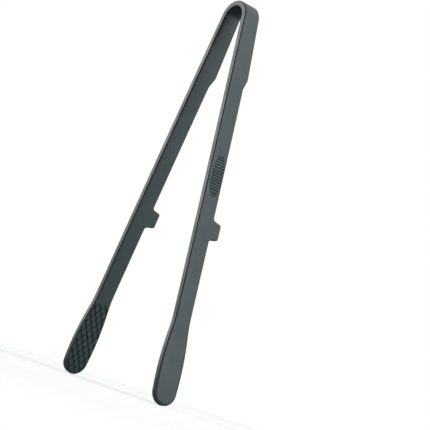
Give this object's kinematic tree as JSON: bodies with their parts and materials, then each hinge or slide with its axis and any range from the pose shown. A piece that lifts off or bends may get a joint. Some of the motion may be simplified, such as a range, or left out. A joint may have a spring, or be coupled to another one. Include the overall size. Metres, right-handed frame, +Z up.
{
  "type": "kitchen tongs",
  "caption": "Spring loaded kitchen tongs: a U of sprung strip in a moulded silicone sleeve, with thumb grips, rest tabs and cross-hatched paddle tips.",
  "frame": {"origin": "bottom centre of the bounding box, midway between the arms and level with the lowest points of the tips; the tongs are held up by the bow", "axes": "+Z up from the tips to the bow; X across the jaws, the arms mirroring each other in X = 0; Y along the width of the strip, rest tabs towards +Y"},
  "size_m": [0.1198, 0.025, 0.2982],
  "materials": {
    "spring_steel": "rolled stainless spring strip",
    "silicone": "satin moulded silicone"
  },
  "bodies": {
    "bow": {"bow_spring": "spring_steel", "bow_sleeve": "silicone"},
    "right_arm": {"right_blade": "spring_steel", "right_sleeve": "silicone"},
    "left_arm": {"left_blade": "spring_steel", "left_sleeve": "silicone"}
  },
  "joints": [
    {"name": "right_squeeze", "type": "hinge", "parent": "bow", "child": "right_arm", "pos_m": [0, -0.00228, 0.28453], "axis": [0, 1, 0], "range_deg": [0, 11], "stiffness_Nm_per_rad": 2.5, "deforming": ["bow_spring", "bow_sleeve"]},
    {"name": "left_squeeze", "type": "hinge", "parent": "bow", "child": "left_arm", "pos_m": [0, -0.00228, 0.28453], "axis": [0, -1, 0], "range_deg": [0, 11], "stiffness_Nm_per_rad": 2.5}
  ],
  "couplings": [
    {"joint": "left_squeeze", "follows": "right_squeeze", "ratio": 1}
  ]
}
